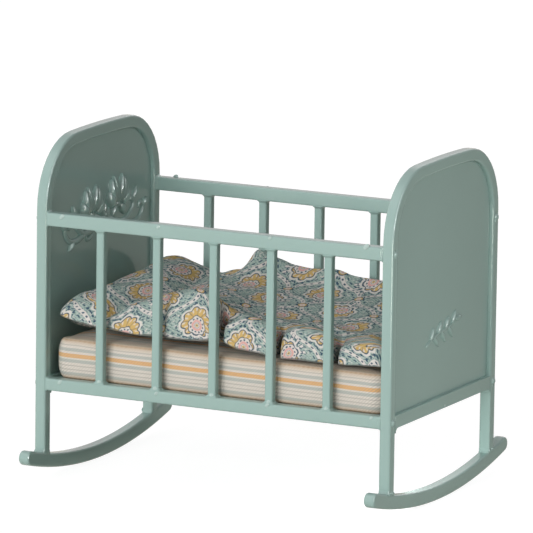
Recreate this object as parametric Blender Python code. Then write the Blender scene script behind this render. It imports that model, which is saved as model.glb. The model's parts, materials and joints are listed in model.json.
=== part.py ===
"""Doll cradle: two arched bar frames on rockers, joined by slatted sides, with a mattress and a quilt.

Metres, Z up. X runs along the cradle from the head end (-X) to the foot end (+X), the front side is -Y,
and the origin lies on the floor under the middle of the cradle.
"""

import math

import bmesh
import bpy

# Pieces that touch keep this gap, which the weld, the paint or the cloth fills on the real cradle
seat_gap = 0.0003

# The rounding of every square edge is made of this many flats
edge_flats = 3

# End frames: each is one flat-sided bar bent into an arch, standing in the YZ plane
cradle_length = 0.1400
frame_width = 0.0878
frame_height = 0.1228
bar_thickness = 0.0042
bar_depth = 0.0044
corner_radius = 0.0246
arch_radius = 0.5600
bar_edge_radius = 0.0008
corner_steps = 10
arch_steps = 9

# Rockers: one curved runner under each frame, its ends rounded
rocker_radius = 0.2100
rocker_height = 0.0052
rocker_overhang = 0.0121
rocker_thickness = 0.0042
rocker_edge_radius = 0.0008
rocker_steps = 31
nose_steps = 7

# Crossbars: flush with the frames, between the posts, with a weld in each lower corner
crossbar_height = 0.0045
corner_weld_radius = 0.0018
weld_steps = 4

# Panels: thin sheet that fills each arch down to its crossbar
panel_thickness = 0.0010
panel_edge_radius = 0.0002

# Side rails: their outer faces are flush with the posts
top_rail_drop = 0.0259
top_rail_height = 0.0049
bottom_rail_top = 0.0371
bottom_rail_height = 0.0045
rail_depth = 0.0042
rail_edge_radius = 0.0007

# Slats: slimmer bars, evenly spaced and centred on the depth of the rails
slat_count = 5
slat_width = 0.0031
slat_depth = 0.0030
slat_edge_radius = 0.0006

# Rivets: each goes through a post into the end of a rail
rivet_shank_radius = 0.00045
rivet_head_lip = 0.0002
rivet_head_height = 0.0005
rivet_reach = 0.0030
bore_overrun = 0.0010
rivet_sides = 12
dome_steps = 3

# Base sheet that carries the mattress
base_thickness = 0.0010
base_drop = 0.0011

# Mattress: a firm cushion with a low crown and sides that swell a little
mattress_height = 0.0141
mattress_side_gap = 0.0009
mattress_end_gap = 0.0018
mattress_edge_radius = 0.0024
mattress_crown = 0.0008
mattress_swell = 0.0004

# Quilt: a stuffed quilt that is thicker at the back and falls away to the foot end
quilt_thickness = 0.0130
quilt_back_rise = 0.0060
quilt_side_gap = 0.0006
quilt_end_gap = 0.0014
quilt_edge_reach = 0.0075
quilt_tuck = 0.0012
quilt_tuck_width = 0.0040
quilt_corner_lift = 0.0055
quilt_foot_fall_share = 0.25
quilt_seam_height_share = 0.35
quilt_lift_reach_shares = (0.30, 0.62)

# Folds of the quilt, each from one place to another as shares of its half length and half width,
# then the fold's half width as a share of the half width and its height as a share of the thickness
quilt_fold_shares = (
    ((-0.33, -1.00), (-0.68, 0.18), 0.15, -0.36),
    ((-0.68, 0.18), (-0.60, 1.00), 0.17, -0.30),
    ((-0.85, -0.30), (-0.80, 0.95), 0.30, 0.14),
    ((-0.36, 0.95), (-0.16, 0.25), 0.13, 0.24),
    ((-0.90, -0.82), (-0.45, -0.84), 0.13, 0.08),
    ((-0.27, -0.82), (-0.03, -0.84), 0.13, 0.10),
    ((0.05, -0.84), (0.92, -0.84), 0.13, 0.10),
    ((-0.04, -0.95), (0.06, -0.55), 0.09, -0.20),
    ((0.02, -0.60), (0.88, -0.58), 0.11, -0.12),
    ((0.10, 0.10), (0.70, 0.30), 0.20, 0.10),
)

# Paint and cloth: colour, roughness and metallic value
paint_look = ((0.37, 0.50, 0.46), 0.32, 0.0)
mattress_look = ((0.62, 0.54, 0.45), 0.90, 0.0)
quilt_look = ((0.25, 0.34, 0.33), 0.90, 0.0)

# Places that follow from the sizes above
post_outer = frame_width / 2
post_inner = post_outer - bar_depth
rail_inner = post_outer - rail_depth
frame_centre = (cradle_length - bar_thickness) / 2
frame_inner = cradle_length / 2 - bar_thickness
rail_half_length = frame_inner - seat_gap
slat_pitch = (2 * rail_half_length + slat_width) / (slat_count + 1)
top_rail_top = frame_height - top_rail_drop
rail_middle = post_outer - rail_depth / 2
rocker_top_radius = rocker_radius - rocker_height
bore_radius = rivet_shank_radius + seat_gap
base_top = bottom_rail_top - base_drop
mattress_bottom = base_top + seat_gap
mattress_half_length = frame_inner - mattress_end_gap
mattress_half_width = rail_inner - mattress_side_gap
quilt_half_length = frame_inner - quilt_end_gap
quilt_half_width = rail_inner - quilt_side_gap
sides = {"front": -1, "back": 1}
ends = {"head": -1, "foot": 1}
smooth_below = math.radians(40)


def clear_scene():
    """Removes whatever objects and meshes the scene holds."""
    for old in list(bpy.data.objects):
        bpy.data.objects.remove(old, do_unlink=True)


def material(name, look):
    """One Principled material with the given colour, roughness and metallic value."""
    colour, roughness, metallic = look
    made = bpy.data.materials.new(name)
    made.use_nodes = True
    shader = made.node_tree.nodes["Principled BSDF"]
    shader.inputs["Base Color"].default_value = (*colour, 1)
    shader.inputs["Roughness"].default_value = roughness
    shader.inputs["Metallic"].default_value = metallic
    made.diffuse_color = (*colour, 1)
    return made


def add_object(name, mesh, place, look):
    """Puts a mesh into the scene as a named, smooth-shaded sub-part with its own material."""
    mesh.shade_smooth()
    mesh.set_sharp_from_angle(angle=smooth_below)
    made = bpy.data.objects.new(name, mesh)
    made.location = place
    mesh.materials.append(material(name, look))
    bpy.context.scene.collection.objects.link(made)
    return made


def mesh_of(name, points, faces):
    """A mesh from points and faces, with its faces turned outwards."""
    mesh = bpy.data.meshes.new(name)
    mesh.from_pydata(points, [], faces)
    shape = bmesh.new()
    shape.from_mesh(mesh)
    bmesh.ops.recalc_face_normals(shape, faces=shape.faces)
    shape.to_mesh(mesh)
    shape.free()
    return mesh


def plate_mesh(name, outline, thickness):
    """An outline in the YZ plane, extruded along X and centred on it."""
    shape = bmesh.new()
    face = shape.faces.new([shape.verts.new((-thickness / 2, y, z)) for y, z in outline])
    grown = bmesh.ops.extrude_face_region(shape, geom=[face])["geom"]
    raised = [item for item in grown if isinstance(item, bmesh.types.BMVert)]
    bmesh.ops.translate(shape, verts=raised, vec=(thickness, 0, 0))
    bmesh.ops.recalc_face_normals(shape, faces=shape.faces)
    mesh = bpy.data.meshes.new(name)
    shape.to_mesh(mesh)
    shape.free()
    return mesh


def block_mesh(name, size):
    """A block of the given size, centred on its origin."""
    half_depth = size[1] / 2
    half_height = size[2] / 2
    corners = [
        (-half_depth, -half_height),
        (half_depth, -half_height),
        (half_depth, half_height),
        (-half_depth, half_height),
    ]
    return plate_mesh(name, corners, size[0])


def round_edges(piece, radius):
    """Rounds the square edges of a bar or a plate."""
    bevel = piece.modifiers.new("rounded_edges", "BEVEL")
    bevel.width = radius
    bevel.segments = edge_flats
    bevel.limit_method = "ANGLE"
    bevel.angle_limit = smooth_below


def bore(piece, cutter):
    """Cuts the rivet bores out of a post or a rail."""
    cut = piece.modifiers.new("rivet_bores", "BOOLEAN")
    cut.operation = "DIFFERENCE"
    cut.object = cutter


def arch_line(inset):
    """The arch from the right post over to the left one, inset from the outer face, in the YZ plane.

    The corner arcs touch the posts and the long, low arc of the top.
    """
    arch_centre = frame_height - arch_radius
    corner_y = post_outer - corner_radius
    corner_z = arch_centre + math.sqrt((arch_radius - corner_radius) ** 2 - corner_y**2)
    meeting = math.atan2(corner_z - arch_centre, corner_y)
    right = []
    for step in range(corner_steps + 1):
        angle = meeting * step / corner_steps
        radius = corner_radius - inset
        right.append((corner_y + radius * math.cos(angle), corner_z + radius * math.sin(angle)))
    top = []
    for step in range(1, arch_steps):
        angle = meeting + (math.pi - 2 * meeting) * step / arch_steps
        radius = arch_radius - inset
        top.append((radius * math.cos(angle), arch_centre + radius * math.sin(angle)))
    left = [(-y, z) for y, z in reversed(right)]
    return right + top + left


def rocker_top_at(y):
    """Height of the rocker's upper face at a place across the cradle."""
    return rocker_radius - math.sqrt(rocker_top_radius**2 - y**2)


def leg_end_at(y):
    """Height of a leg's end, which follows the rocker with the seat gap."""
    return rocker_radius - math.sqrt((rocker_top_radius - seat_gap) ** 2 - y**2)


def frame_outline():
    """The bent bar: up the outside of the arch and back along its inside."""
    outer = arch_line(0)
    inner = arch_line(bar_depth)
    outer = [(post_outer, leg_end_at(post_outer))] + outer + [(-post_outer, leg_end_at(post_outer))]
    inner = [(post_inner, leg_end_at(post_inner))] + inner + [(-post_inner, leg_end_at(post_inner))]
    return outer + inner[::-1]


def panel_outline():
    """The sheet inside the arch, down to the top of the crossbar."""
    inset = bar_depth + seat_gap
    floor = bottom_rail_top + seat_gap
    edge = post_outer - inset
    return [(edge, floor)] + arch_line(inset) + [(-edge, floor)]


def crossbar_outline():
    """The crossbar's face: a bar whose lower corners run down the posts in hollow welds."""
    end = post_inner - seat_gap
    top = bottom_rail_top
    low = top - crossbar_height
    weld = []
    for step in range(weld_steps + 1):
        angle = math.pi / 2 * step / weld_steps
        across = corner_weld_radius * (1 - math.cos(angle))
        down = corner_weld_radius * (1 - math.sin(angle))
        weld.append((end - across, low - down))
    left = [(-y, z) for y, z in weld]
    return [(end, top), (-end, top)] + left + weld[::-1]


def rocker_outline():
    """The runner: its lower arc touches the floor on a short flat, and both its ends are half round."""
    nose_radius = rocker_height / 2
    middle_radius = rocker_radius - nose_radius
    half_span = post_outer + rocker_overhang - nose_radius
    end_angle = math.asin(half_span / middle_radius)
    half_step = end_angle / rocker_steps
    turns = [2 * half_step * step - end_angle for step in range(rocker_steps + 1)]

    def arc(radius):
        return [(radius * math.sin(turn), rocker_radius - radius * math.cos(turn)) for turn in turns]

    def nose(turn, start):
        centre_y = middle_radius * math.sin(turn)
        centre_z = rocker_radius - middle_radius * math.cos(turn)
        found = []
        for step in range(1, nose_steps):
            angle = start + math.pi * step / nose_steps
            found.append((centre_y + nose_radius * math.cos(angle), centre_z + nose_radius * math.sin(angle)))
        return found

    lower = arc(rocker_radius / math.cos(half_step))
    upper = arc(rocker_top_radius)
    right_nose = nose(end_angle, end_angle - math.pi / 2)
    left_nose = nose(-end_angle, math.pi / 2 - end_angle)
    return lower + right_nose + upper[::-1] + left_nose


def rivet_places():
    """Name and place of each rivet: which end and side it is on, and the middle of which rail."""
    heights = {
        "top": top_rail_top - top_rail_height / 2,
        "bottom": bottom_rail_top - bottom_rail_height / 2,
    }
    return [
        (f"{end}_{side}_{level}_rivet", along, across * rail_middle, height)
        for end, along in ends.items()
        for side, across in sides.items()
        for level, height in heights.items()
    ]


def turned_mesh(name, profile, mirrored):
    """A profile of (place along X, radius) points turned round the X axis, from pole to pole."""
    points = [(profile[0][0], 0, 0)]
    for along, radius in profile[1:-1]:
        for side in range(rivet_sides):
            angle = 2 * math.pi * side / rivet_sides
            points.append((along, radius * math.cos(angle), radius * math.sin(angle)))
    points.append((profile[-1][0], 0, 0))
    if mirrored:
        points = [(-x, y, z) for x, y, z in points]
    last = len(points) - 1
    faces = []
    for side in range(rivet_sides):
        after = (side + 1) % rivet_sides
        faces.append((0, 1 + side, 1 + after))
        faces.append((last, last - rivet_sides + after, last - rivet_sides + side))
        for ring in range(len(profile) - 3):
            low = 1 + ring * rivet_sides
            high = low + rivet_sides
            faces.append((low + side, high + side, high + after, low + after))
    return mesh_of(name, points, faces)


def rivet_profile():
    """Half a section of a rivet along X: the shank's end, the shank, the underside and the domed head."""
    head_radius = bore_radius + rivet_head_lip
    under = cradle_length / 2 + seat_gap
    tip = rail_half_length - rivet_reach
    dome = []
    for step in range(dome_steps + 1):
        angle = math.pi / 2 * step / dome_steps
        dome.append((under + rivet_head_height * math.sin(angle), head_radius * math.cos(angle)))
    return [(tip, 0), (tip, rivet_shank_radius), (under, rivet_shank_radius)] + dome


def bore_cutter():
    """One cutter with a round bar for each rivet bore, from outside the post into the rail's end."""
    start = rail_half_length - rivet_reach - seat_gap
    stop = cradle_length / 2 + bore_overrun
    shape = bmesh.new()
    for _, along, y, z in rivet_places():
        made = bmesh.ops.create_cone(
            shape,
            cap_ends=True,
            segments=rivet_sides,
            radius1=bore_radius,
            radius2=bore_radius,
            depth=stop - start,
        )
        for vertex in made["verts"]:
            across, up, length = vertex.co
            vertex.co = (along * (start + stop) / 2 + length, y + across, z + up)
    mesh = bpy.data.meshes.new("rivet_bore_cutter")
    shape.to_mesh(mesh)
    shape.free()
    cutter = bpy.data.objects.new("rivet_bore_cutter", mesh)
    cutter.hide_render = True
    cutter.display_type = "WIRE"
    bpy.context.scene.collection.objects.link(cutter)
    return cutter


def add_end(end, along, cutter):
    """One end of the cradle: the bent frame, its crossbar, its panel and its rocker."""
    place = (along * frame_centre, 0, 0)
    frame = add_object(
        f"{end}_frame", plate_mesh(f"{end}_frame", frame_outline(), bar_thickness), place, paint_look
    )
    round_edges(frame, bar_edge_radius)
    bore(frame, cutter)
    crossbar = add_object(
        f"{end}_crossbar", plate_mesh(f"{end}_crossbar", crossbar_outline(), bar_thickness), place, paint_look
    )
    round_edges(crossbar, bar_edge_radius)
    panel = add_object(
        f"{end}_panel", plate_mesh(f"{end}_panel", panel_outline(), panel_thickness), place, paint_look
    )
    round_edges(panel, panel_edge_radius)
    rocker = add_object(
        f"{end}_rocker", plate_mesh(f"{end}_rocker", rocker_outline(), rocker_thickness), place, paint_look
    )
    round_edges(rocker, rocker_edge_radius)


def add_side(side, across, cutter):
    """One slatted side: a top rail, a bottom rail and the row of slats between them."""
    rails = {"top": (top_rail_top, top_rail_height), "bottom": (bottom_rail_top, bottom_rail_height)}
    for level, (top, height) in rails.items():
        name = f"{side}_{level}_rail"
        size = (2 * rail_half_length, rail_depth, height)
        rail = add_object(name, block_mesh(name, size), (0, across * rail_middle, top - height / 2), paint_look)
        round_edges(rail, rail_edge_radius)
        bore(rail, cutter)
    low = bottom_rail_top + seat_gap
    high = top_rail_top - top_rail_height - seat_gap
    for number in range(slat_count):
        name = f"{side}_slat_{number + 1}"
        x = (number - (slat_count - 1) / 2) * slat_pitch
        mesh = block_mesh(name, (slat_width, slat_depth, high - low))
        slat = add_object(name, mesh, (x, across * rail_middle, (low + high) / 2), paint_look)
        round_edges(slat, slat_edge_radius)


def add_rivets():
    """The rivets that hold the rails to the posts."""
    for name, along, y, z in rivet_places():
        add_object(name, turned_mesh(name, rivet_profile(), along < 0), (0, y, z), paint_look)


def add_base():
    """The sheet between the bottom rails that the mattress lies on."""
    size = (2 * rail_half_length, 2 * (rail_inner - seat_gap), base_thickness)
    add_object("base_sheet", block_mesh("base_sheet", size), (0, 0, base_top - base_thickness / 2), paint_look)


def spaced(half, edge, inner_steps, edge_steps):
    """Places from -half to half: even in the middle, and closer together in the rounded edge."""
    inner = half - edge
    middle = [inner * (2 * step / inner_steps - 1) for step in range(inner_steps + 1)]
    outer = [inner + edge * math.sin(math.pi / 2 * step / edge_steps) for step in range(1, edge_steps + 1)]
    return [-place for place in reversed(outer)] + middle + outer


def mattress_crown_at(x, y):
    """How far the mattress stands above its own edge height."""
    along = min(abs(x) / mattress_half_length, 1)
    across = min(abs(y) / mattress_half_width, 1)
    return mattress_crown * (1 - along**2) * (1 - across**2)


def mattress_point(x, y, z):
    """Rounds the edges of the mattress's block, swells its sides and raises its crown."""
    half = (mattress_half_length - mattress_swell, mattress_half_width - mattress_swell, mattress_height / 2)
    kept = [max(-size + mattress_edge_radius, min(size - mattress_edge_radius, value))
            for size, value in zip(half, (x, y, z))]
    away = [value - core for value, core in zip((x, y, z), kept)]
    reach = math.sqrt(sum(value**2 for value in away))
    if reach > 0:
        away = [value * mattress_edge_radius / reach for value in away]
    x, y, z = (core + value for core, value in zip(kept, away))
    swell = 1 - (2 * z / mattress_height) ** 2
    x += mattress_swell * swell * x / half[0]
    y += mattress_swell * swell * y / half[1]
    if z > 0:
        z += mattress_crown_at(x, y) * 2 * z / mattress_height
    return x, y, z


def shell_grid(xs, ys, zs):
    """Points and square faces of a block's whole surface, on the given places along each axis."""
    last = (len(xs) - 1, len(ys) - 1, len(zs) - 1)
    index = {}
    points = []
    for i, x in enumerate(xs):
        for j, y in enumerate(ys):
            for k, z in enumerate(zs):
                if i in (0, last[0]) or j in (0, last[1]) or k in (0, last[2]):
                    index[i, j, k] = len(points)
                    points.append((x, y, z))
    faces = []
    for fixed in range(3):
        first, second = [axis for axis in range(3) if axis != fixed]
        for level in (0, last[fixed]):
            for a in range(last[first]):
                for b in range(last[second]):
                    corners = []
                    for step_a, step_b in ((0, 0), (1, 0), (1, 1), (0, 1)):
                        key = [level] * 3
                        key[first] = a + step_a
                        key[second] = b + step_b
                        corners.append(index[tuple(key)])
                    faces.append(corners)
    return points, faces


def add_mattress():
    """The mattress: a block with rounded edges, swelling sides and a low crown."""
    half_height = mattress_height / 2
    xs = spaced(mattress_half_length - mattress_swell, mattress_edge_radius, 12, 3)
    ys = spaced(mattress_half_width - mattress_swell, mattress_edge_radius, 8, 3)
    zs = spaced(half_height, mattress_edge_radius, 3, 3)
    points, faces = shell_grid(xs, ys, zs)
    mesh = mesh_of("mattress", [mattress_point(*point) for point in points], faces)
    return add_object("mattress", mesh, (0, 0, mattress_bottom + half_height), mattress_look)


def distance_to_line(x, y, start, stop):
    """Distance from a place to the straight line between two others."""
    run = (stop[0] - start[0], stop[1] - start[1])
    length = run[0] ** 2 + run[1] ** 2
    along = ((x - start[0]) * run[0] + (y - start[1]) * run[1]) / length
    along = max(0, min(1, along))
    return math.hypot(x - start[0] - along * run[0], y - start[1] - along * run[1])


def folds_at(x, y):
    """Summed height of the quilt's folds at a place."""
    total = 0
    for start, stop, width_share, height_share in quilt_fold_shares:
        start = (start[0] * quilt_half_length, start[1] * quilt_half_width)
        stop = (stop[0] * quilt_half_length, stop[1] * quilt_half_width)
        away = distance_to_line(x, y, start, stop) / (width_share * quilt_half_width)
        total += height_share * quilt_thickness * math.exp(-(away**2))
    return total


def edge_rise(distance):
    """Quarter-round rise from nothing at the quilt's seam to the full height inside it."""
    left = 1 - max(0, min(distance / quilt_edge_reach, 1))
    return math.sqrt(1 - left**2)


def quilt_tuck_at(x):
    """How far the quilt's front and back edges are drawn in where they press on a slat."""
    slat = round(x / slat_pitch + (slat_count - 1) / 2)
    slat = max(0, min(slat_count - 1, slat))
    away = x - (slat - (slat_count - 1) / 2) * slat_pitch
    return quilt_tuck * math.exp(-((away / quilt_tuck_width) ** 2))


def quilt_heights(x, y):
    """Heights of the quilt's lower and upper faces over the mattress's edge height."""
    u = x / quilt_half_length
    v = y / quilt_half_width
    lift = quilt_corner_lift
    lift *= math.exp(-(((u + 1) / quilt_lift_reach_shares[0]) ** 2))
    lift *= math.exp(-(((v + 1) / quilt_lift_reach_shares[1]) ** 2))
    low = mattress_crown_at(x, y) + seat_gap + lift
    thickness = quilt_thickness * (1 - quilt_foot_fall_share * max(0, u)) + quilt_back_rise * (1 + v) / 2
    high = mattress_crown_at(x, y) + seat_gap + thickness + folds_at(x, y)
    seam = low + quilt_seam_height_share * (high - low)
    rise = edge_rise(quilt_half_length - abs(x)) * edge_rise(quilt_half_width - abs(y))
    return seam - (seam - low) * rise, seam + (high - seam) * rise


def add_quilt():
    """The quilt: an upper and a lower face over one grid, joined at the seam all round."""
    xs = spaced(quilt_half_length, quilt_edge_reach, 24, 3)
    ys = spaced(quilt_half_width, quilt_edge_reach, 12, 3)
    rows = len(ys)
    points = []
    upper = {}
    lower = {}
    for i, x in enumerate(xs):
        for j, y in enumerate(ys):
            low, high = quilt_heights(x, y)
            drawn_in = y * (1 - quilt_tuck_at(x) / quilt_half_width)
            upper[i, j] = len(points)
            points.append((x, drawn_in, high))
            on_seam = i in (0, len(xs) - 1) or j in (0, rows - 1)
            lower[i, j] = upper[i, j] if on_seam else len(points)
            if not on_seam:
                points.append((x, drawn_in, low))
    faces = []
    for i in range(len(xs) - 1):
        for j in range(rows - 1):
            corners = ((i, j), (i + 1, j), (i + 1, j + 1), (i, j + 1))
            faces.append([upper[corner] for corner in corners])
            faces.append([lower[corner] for corner in reversed(corners)])
    place = (0, 0, mattress_bottom + mattress_height)
    return add_object("quilt", mesh_of("quilt", points, faces), place, quilt_look)


def build():
    """Models the whole cradle."""
    clear_scene()
    cutter = bore_cutter()
    for end, along in ends.items():
        add_end(end, along, cutter)
    for side, across in sides.items():
        add_side(side, across, cutter)
    add_rivets()
    add_base()
    add_mattress()
    add_quilt()


build()
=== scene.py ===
"""Looks of the doll cradle: a painted metal frame, a mattress in striped ticking and a printed quilt.

Lengths are in metres where no comment says millimetres.
"""

import json
import math

import bmesh
import bpy
import numpy as np
from mathutils import Matrix, Vector

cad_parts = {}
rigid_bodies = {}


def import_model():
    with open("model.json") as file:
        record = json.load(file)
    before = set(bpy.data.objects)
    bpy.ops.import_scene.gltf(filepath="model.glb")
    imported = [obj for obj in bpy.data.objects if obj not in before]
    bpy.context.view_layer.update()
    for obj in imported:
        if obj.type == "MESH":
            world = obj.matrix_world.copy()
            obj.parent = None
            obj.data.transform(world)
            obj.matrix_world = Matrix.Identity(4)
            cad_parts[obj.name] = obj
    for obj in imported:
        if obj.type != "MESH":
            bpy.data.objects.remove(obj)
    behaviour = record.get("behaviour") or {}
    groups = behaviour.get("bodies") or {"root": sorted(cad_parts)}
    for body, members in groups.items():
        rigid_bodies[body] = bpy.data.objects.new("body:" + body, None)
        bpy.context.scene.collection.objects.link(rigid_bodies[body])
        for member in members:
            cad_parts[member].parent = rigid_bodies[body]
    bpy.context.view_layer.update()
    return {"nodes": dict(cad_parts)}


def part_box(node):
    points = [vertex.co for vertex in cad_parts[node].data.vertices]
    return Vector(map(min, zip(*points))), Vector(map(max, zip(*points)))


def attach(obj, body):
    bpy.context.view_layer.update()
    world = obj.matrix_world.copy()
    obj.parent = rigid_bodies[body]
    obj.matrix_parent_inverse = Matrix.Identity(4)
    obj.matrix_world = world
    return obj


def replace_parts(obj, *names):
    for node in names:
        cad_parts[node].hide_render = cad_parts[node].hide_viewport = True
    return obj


for startup_object in list(bpy.data.objects):
    bpy.data.objects.remove(startup_object, do_unlink=True)
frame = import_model()

# Camera, found from the cradle's edges in the photograph
camera_place = (1.07220, -2.17104, 0.54119)
camera_yaw = math.radians(26.2925)
camera_pitch = math.radians(10.8607)
camera_roll = math.radians(0.8229)
camera_lens = 468.1
sensor_width = 36.0
camera_clip = (0.05, 60)

# Light: a soft sun from the front left, and surroundings that are brighter towards it
sun_from = (-0.13, -1.00, 0.18)
sun_level = 1.62
sun_spread = math.radians(40)
sky_from, sky_slope, sky_level = (-0.74, -0.67, 0.05), 0.42, 0.48
mirror_from, mirror_slope, mirror_level = (-0.90, 0.30, 0.20), 0.28, 0.60
mirror_colour = (1.0, 0.955, 0.945, 1)
least_light = 0.05

# Bright patches that only reflections see: the direction of each, its level, and the angles from its
# middle, in degrees, at which it is full and gone. Beside each, the edges that show it to the camera.
glints = (
    ((0.86, -0.40, 0.30), 4.0, 22, 46),  # between front and foot end
    ((0.87, -0.42, 0.27), 24.0, 5, 12),  # the same, narrow and bright
    ((-0.42, -0.30, 0.86), 1.1, 6, 26),  # between front and top
    ((0.68, -0.10, 0.70), 3.0, 6, 26),  # where front, foot end and top meet
    ((-0.10, 0.88, 0.44), 1.3, 6, 26),  # between foot end and top
)

# Lamps that reflections don't see: place, aim, size and power
lamps = {
    "side_lamp": ((0.153, -0.030, 0.075), (0.070, -0.030, 0.075), (0.03, 0.14), 0.0155),
    "far_lamp": ((0.60, 0.07, 0.20), (0.07, 0.0, 0.06), (0.12, 0.16), 0.33),
    "low_lamp": ((0.058, -0.028, 0.014), (0.068, 0.040, 0.016), (0.006, 0.010), 0.016),
}

# Floor: its looks for the camera, for the light that it gives back, and for reflections, where it glows
# with a painted reflection: darker towards the foot end, a painted shadow under the cradle, and a painted
# bright patch in a wedge in front of the foot end
floor_radius = 8.0
floor_corners = 24
floor_colour = (0.20, 0.20, 0.20, 1)
floor_glow = 0.92
floor_bounce_colour = (0.75, 0.75, 0.69, 1)
floor_mirror_colour = (1.0, 1.0, 0.88, 1)
floor_mirror_level = 0.62
floor_mirror_slopes = (-0.90, -0.15)
floor_mirror_least = 0.36
floor_glint_towards = (0.743, -0.669)
floor_glint_near = math.cos(math.radians(9))
floor_glint_far = math.cos(math.radians(21))
floor_glint_from = (-0.268, 0.010)
floor_glint_least_reach = 0.1
floor_glint_level = 12.0
shaded_floor = ((0.060, 0.012), (0.070, 0.030))
shaded_floor_share = 0.8

# Paint
paint_colour = (0.318, 0.445, 0.415)
paint_darker = (0.300, 0.423, 0.394)
# Drops of paint: a paler enamel that paints a highlight on each drop
drop_highlight_colour = (0.46, 0.565, 0.535)
drop_darker = (0.40, 0.52, 0.49)
paint_least_roughness = 0.10
paint_uneven_gloss = 0.06
paint_gloss = 0.5
slat_gloss = 0.16
drop_gloss = 0.3
cloud_scale, speckle_scale = 70, 1400
peel_scale, peel_depth = 900, 0.0000035
wave_scale, wave_depth = 45, 0.00002

slat_count = 5
sides = {"front": -1, "back": 1}
ends = {"head": -1, "foot": 1}

# Places that the frame gives
foot_low, foot_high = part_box("foot_frame")
post_inner_x = foot_low.x
post_outer_x = foot_high.x
post_outer_y = foot_high.y
crossbar_low, crossbar_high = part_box("foot_crossbar")
crossbar_gap = 0.0003
post_inner_y = crossbar_high.y + crossbar_gap
mattress_low, mattress_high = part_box("mattress")
quilt_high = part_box("quilt")[1]


def mm(*values):
    return tuple(value * 0.001 for value in values)


def joining(operation, swapped=False):
    """A method that joins a Value and another value or number by one Math node."""
    def method(self, other):
        return self.nodes.math(operation, *((other, self) if swapped else (self, other)))
    return method


def changing(operation):
    """A method that puts a Value through one Math node."""
    def method(self):
        return self.nodes.math(operation, self)
    return method


class Value:
    """What a socket gives, so that sums of sockets and numbers can be written as sums."""

    def __init__(self, nodes, socket):
        self.nodes = nodes
        self.socket = socket

    __add__ = joining("ADD")
    __radd__ = joining("ADD", swapped=True)
    __sub__ = joining("SUBTRACT")
    __rsub__ = joining("SUBTRACT", swapped=True)
    __mul__ = joining("MULTIPLY")
    __rmul__ = joining("MULTIPLY", swapped=True)
    __truediv__ = joining("DIVIDE")
    __abs__ = changing("ABSOLUTE")
    sine = changing("SINE")
    cosine = changing("COSINE")
    root = changing("SQRT")
    fraction = changing("FRACT")

    def clamped(self):
        """Keeps the sum that was written last between 0 and 1."""
        self.socket.node.use_clamp = True
        return self


class Nodes:
    """Short ways to add and join the nodes of a material or of the world."""

    def __init__(self, owner):
        owner.use_nodes = True
        self.tree = owner.node_tree

    def put(self, socket, value):
        """Sets a socket to a value, or joins it to what another socket gives."""
        if isinstance(value, Value):
            value = value.socket
        if isinstance(value, bpy.types.NodeSocket):
            self.tree.links.new(value, socket)
        elif socket.type == "RGBA" and len(value) == 3:
            socket.default_value = (*value, 1)
        else:
            socket.default_value = value

    def value(self, kind, inputs=None, output=0, **settings):
        """Adds a node with these inputs and settings, and returns what one of its outputs gives."""
        made = self.tree.nodes.new("ShaderNode" + kind)
        for key, setting in settings.items():
            setattr(made, key, setting)
        for key, given in (inputs or {}).items():
            self.put(made.inputs[key], given)
        return Value(self, made.outputs[output])

    def math(self, operation, *values):
        return self.value("Math", dict(enumerate(values)), operation=operation)

    def mix(self, share, first, second):
        """A colour between two others."""
        return self.value("Mix", {0: share, 6: first, 7: second}, 2, data_type="RGBA")

    def noise(self, place, scale, detail=2.0, roughness=0.5):
        inputs = {"Vector": place, "Scale": scale, "Detail": detail, "Roughness": roughness}
        return self.value("TexNoise", inputs)

    def bump(self, height, distance, normal=None):
        inputs = {"Height": height, "Distance": distance}
        if normal is not None:
            inputs["Normal"] = normal
        return self.value("Bump", inputs)

    def ramp(self, value, low, high, at_low, at_high):
        """Goes smoothly from one level to another while a value goes from low to high."""
        inputs = {"Value": value, "From Min": low, "From Max": high, "To Min": at_low, "To Max": at_high}
        return self.value("MapRange", inputs, interpolation_type="SMOOTHSTEP")

    def below(self, value, limit, softness):
        """1 where the value is under the limit, 0 above it, with a soft edge."""
        return self.ramp(value, limit - softness, limit + softness, 1.0, 0.0)

    def split(self, vector):
        socket = self.value("SeparateXYZ", {0: vector}).socket
        return [Value(self, output) for output in socket.node.outputs]

    def is_ray(self, kind):
        return self.value("LightPath", output=f"Is {kind} Ray")

    def blend(self, share, first, second):
        """A shader between two others."""
        return self.value("MixShader", {0: share, 1: first, 2: second})

    def for_reflections(self, light, mirrored):
        return self.blend(self.is_ray("Glossy"), light, mirrored)

    def for_camera(self, hidden, seen):
        directly = self.math("MAXIMUM", self.is_ray("Camera"), self.is_ray("Transmission"))
        return self.blend(directly, hidden, seen)


class Shader(Nodes):
    """The nodes of a new material."""

    def __init__(self, name):
        self.material = bpy.data.materials.new(name)
        super().__init__(self.material)
        self.surface = self.tree.nodes["Principled BSDF"]

    def attribute(self, name, output="Vector"):
        return self.value("Attribute", output=output, attribute_name=name)

    def finish(self, colour, roughness, gloss, normal):
        """Sets the surface and returns the material."""
        self.put(self.surface.inputs["Base Color"], colour)
        self.put(self.surface.inputs["Roughness"], roughness)
        self.put(self.surface.inputs["Specular IOR Level"], gloss)
        self.put(self.surface.inputs["Normal"], normal)
        return self.material


def paint_material(name, colour=paint_colour, darker=paint_darker, gloss=paint_gloss):
    """Smooth enamel: a little uneven in colour and gloss, with a fine orange peel."""
    shader = Shader(name)
    place = shader.value("TexCoord", output="Object")
    cloudy = shader.noise(place, cloud_scale, 3.0)
    speckled = shader.noise(place, speckle_scale, 2.0)
    mixed = shader.mix(speckled * 0.4 + cloudy * 0.7, colour, darker)
    wave = shader.bump(shader.noise(place, wave_scale, 1.0), wave_depth)
    peel = shader.bump(shader.noise(place, peel_scale, 1.0), peel_depth, wave)
    return shader.finish(mixed, cloudy * paint_uneven_gloss + paint_least_roughness, gloss, peel)


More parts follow.
